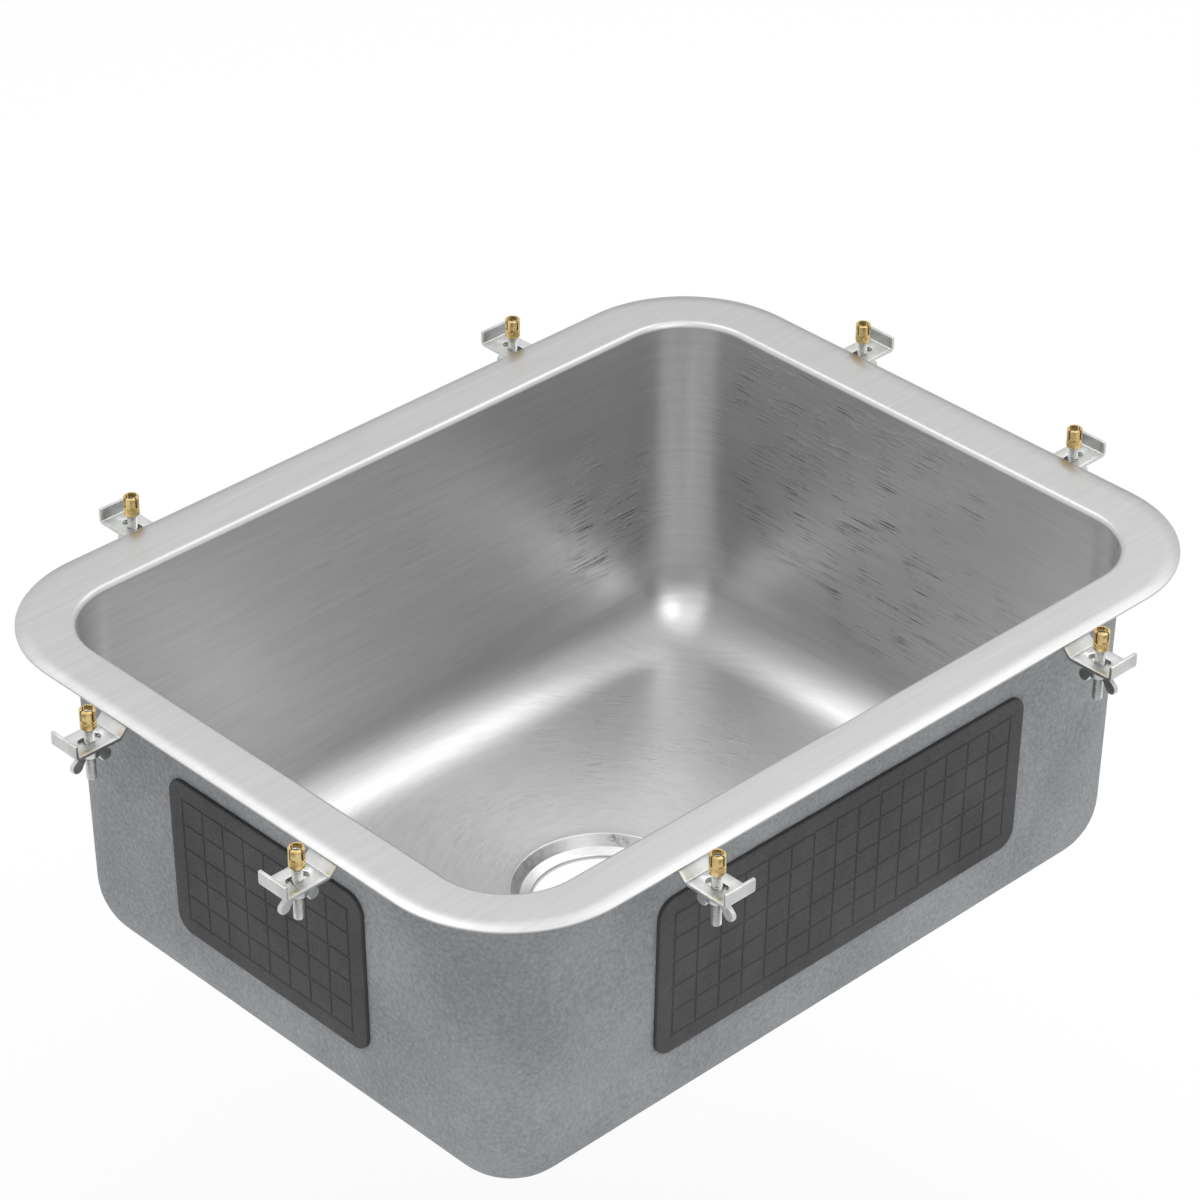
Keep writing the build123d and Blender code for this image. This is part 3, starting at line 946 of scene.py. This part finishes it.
def clipMesh():
    shape = clipShape
    corners = [(x * mm, z * mm) for x, z in shape["path"]]
    path = roundedPath(corners, [r * mm for r in shape["radii"]], shape["bendSteps"])
    slotEnd, halfWidth = shape["slot"] / 2, shape["width"] / 2
    straight = slotEnd - shape["slotHalf"]
    turns = [math.pi / 2 * k / shape["slotSteps"] for k in range(shape["slotSteps"] + 1)]
    extra = [slotEnd - shape["slotHalf"] * (1 - math.sin(t)) for t in turns]
    stops = sorted({round(x, 9) for x in extra + [-x for x in extra]})
    # rows along the strip: the toe's round corners, the bends, and between them the slot
    toeTurns = [math.pi / 2 * k / shape["toeSteps"] for k in range(1, shape["toeSteps"] + 1)]
    toe = [corners[0][0] + shape["toeCorner"] * (1 - math.cos(t)) for t in toeTurns]
    base = path[0]
    points = [base] + [(x, base[1], *base[2:]) for x in toe]
    points += [p for p in path[1:] if p[0] < stops[0] and p not in points]
    flat = points[-1]
    points += [(x, flat[1], 0.0, -1.0) for x in stops]
    points += [p for p in path if p[0] > stops[-1]]

    def slotWidth(x, z):
        if z > shape["slotBelow"] or abs(x) >= slotEnd - tiny:
            return 0.0
        past = max(0, abs(x) - straight)
        return math.sqrt(max(0, shape["slotHalf"] ** 2 - past ** 2))

    def edgeWidth(x):
        back = max(0, shape["toeCorner"] - (x - corners[0][0]))
        return halfWidth - shape["toeCorner"] + math.sqrt(max(0, shape["toeCorner"] ** 2 - back ** 2))

    bm = bmesh.new()
    count = shape["across"]
    layers = []
    for thickness in (0, shape["thick"]):
        rows = []
        for x, z, outX, outZ in points:
            hole, edge = slotWidth(x, z), edgeWidth(x)
            row = []
            for side in (-1, 1):
                for k in (range(count, -1, -1) if side < 0 else range(count + 1)):
                    y = side * (hole + (edge - hole) * k / count)
                    row.append(bm.verts.new((x + outX * thickness, y, z + outZ * thickness)))
            rows.append(row)
        layers.append(rows)
    top, bottom = layers
    across = 2 * (count + 1)
    for i in range(len(points) - 1):
        isOpen = slotWidth(*points[i][:2]) > 0 or slotWidth(*points[i + 1][:2]) > 0
        for k in range(across - 1):
            if k == count:
                if isOpen:
                    bm.faces.new((top[i][k], bottom[i][k], bottom[i + 1][k], top[i + 1][k]))
                    bm.faces.new((top[i][k + 1], top[i + 1][k + 1], bottom[i + 1][k + 1], bottom[i][k + 1]))
                continue
            bm.faces.new((top[i][k], top[i + 1][k], top[i + 1][k + 1], top[i][k + 1]))
            bm.faces.new((bottom[i][k], bottom[i][k + 1], bottom[i + 1][k + 1], bottom[i + 1][k]))
        for k in (0, across - 1):
            bm.faces.new((top[i][k], bottom[i][k], bottom[i + 1][k], top[i + 1][k]))
    for i in (0, len(points) - 1):
        for k in range(across - 1):
            if k != count:
                bm.faces.new((top[i][k], top[i][k + 1], bottom[i][k + 1], bottom[i][k]))
    bmesh.ops.remove_doubles(bm, verts=bm.verts, dist=mergeWithin)
    bmesh.ops.dissolve_degenerate(bm, edges=bm.edges, dist=mergeWithin)
    bmesh.ops.recalc_face_normals(bm, faces=bm.faces)
    least = math.radians(shape["roundedFrom"])
    hard = [edge for edge in bm.edges if edge.is_manifold and edge.calc_face_angle(0) > least]
    bmesh.ops.bevel(bm, geom=hard, offset=shape["round"], segments=2, affect="EDGES", profile=0.5,
                    clamp_overlap=True)
    return finishMesh(bm, "slottedClip", zinc, shape["sharp"])


placeKit(studMesh(), "stud", "root")
placeKit(insertMesh(), "insert", "root")
placeKit(washerMesh(), "washer", "washer")
placeKit(clipMesh(), "clip", "clip")

# the cast wing nuts keep their solid's shape
for station in stations:
    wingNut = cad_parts[f"wing_nut_{station}"]
    wingNut.data.materials.clear()
    wingNut.data.materials.append(zinc)
print("hanging kit placed")


# Floor, light and camera.
floorLook = {"drop": 0.36, "size": 12.0, "colour": (0.86, 0.86, 0.86), "roughness": 0.9, "whiteness": 0.75}
lampAim = (0, 0, -0.15)
lampLook = {
    "overhead": {"at": (0, 0, 2.6), "size": 5.0, "power": 25.0},
    "right": {"at": (1.7, 0, 2.0), "size": 1.8, "power": 8.2},
    "back": {"at": (0, 1.2, 2.4), "size": 1.2, "power": 6.5},
    "front": {"at": (0, -1.7, 2.0), "size": 1.8, "power": 10.0},
    "left": {"at": (-1.2, 1.25, 2.0), "size": 1.4, "power": 1.8},
}
skyLook = {"level": 0.9, "seenLevel": 1.0}   # as light, and as it is seen directly or mirrored
cameraLook = {
    "at": (-1.52092, -1.56896, 1.41522), "aim": (0.08862, 0.09626, -0.1),
    "roll": math.radians(0.306), "lens": 133.09, "sensor": 36,
}


def seenRays(nodes, links):
    # 1 for camera, mirror and see-through rays, 0 for those that only carry light
    rays = node(nodes, "ShaderNodeLightPath").outputs
    indirect = mathNode(nodes, links, "MAXIMUM", rays["Is Glossy Ray"], rays["Is Transmission Ray"])
    return mathNode(nodes, links, "MAXIMUM", rays["Is Camera Ray"], indirect)


def paleFloor():
    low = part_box("bowl")[0]
    bpy.ops.mesh.primitive_plane_add(size=floorLook["size"], location=(0, 0, low.z - floorLook["drop"]))
    floor = bpy.context.object
    floor.name = "paleFloor"
    material, nodes, links, shader = newMaterial("paleFloor")
    shader.inputs["Base Color"].default_value = (*floorLook["colour"], 1)
    shader.inputs["Roughness"].default_value = floorLook["roughness"]
    glow = node(nodes, "ShaderNodeEmission")
    whiten = node(nodes, "ShaderNodeMixShader")
    links.new(product(nodes, links, seenRays(nodes, links), floorLook["whiteness"]), whiten.inputs[0])
    links.new(shader.outputs[0], whiten.inputs[1])
    links.new(glow.outputs[0], whiten.inputs[2])
    # seen from below, the floor is clear
    clear = node(nodes, "ShaderNodeBsdfTransparent")
    oneSided = node(nodes, "ShaderNodeMixShader")
    links.new(node(nodes, "ShaderNodeNewGeometry").outputs["Backfacing"], oneSided.inputs[0])
    links.new(whiten.outputs[0], oneSided.inputs[1])
    links.new(clear.outputs[0], oneSided.inputs[2])
    links.new(oneSided.outputs[0], nodes["Material Output"].inputs["Surface"])
    floor.data.materials.append(material)


def softSky():
    world = bpy.data.worlds.new("softSky")
    bpy.context.scene.world = world
    world.use_nodes = True
    nodes, links = world.node_tree.nodes, world.node_tree.links
    sky = nodes["Background"]
    sky.inputs["Color"].default_value = (1, 1, 1, 1)
    strength = mixValue(nodes, links, seenRays(nodes, links), skyLook["level"], skyLook["seenLevel"])
    links.new(strength, sky.inputs["Strength"])


def softLamp(name, look):
    light = bpy.data.lights.new(name, "AREA")
    light.shape = "DISK"
    light.size = look["size"]
    light.energy = look["power"]
    lamp = placed(name, light)
    lamp.location = look["at"]
    lamp.rotation_euler = (Vector(lampAim) - Vector(look["at"])).to_track_quat("-Z", "Y").to_euler()


def photoCamera():
    data = bpy.data.cameras.new("photoCamera")
    data.lens = cameraLook["lens"]
    data.sensor_width = cameraLook["sensor"]
    camera = placed("photoCamera", data)
    camera.location = cameraLook["at"]
    ahead = (Vector(cameraLook["aim"]) - Vector(cameraLook["at"])).to_track_quat("-Z", "Y").to_matrix()
    roll = Euler((0, 0, cameraLook["roll"])).to_matrix()
    camera.rotation_euler = (ahead @ roll).to_euler()
    bpy.context.scene.camera = camera


paleFloor()
softSky()
for lampName, look in lampLook.items():
    softLamp(lampName, look)
photoCamera()
bpy.context.scene.view_settings.view_transform = "Standard"
print("stage, light and camera ready")
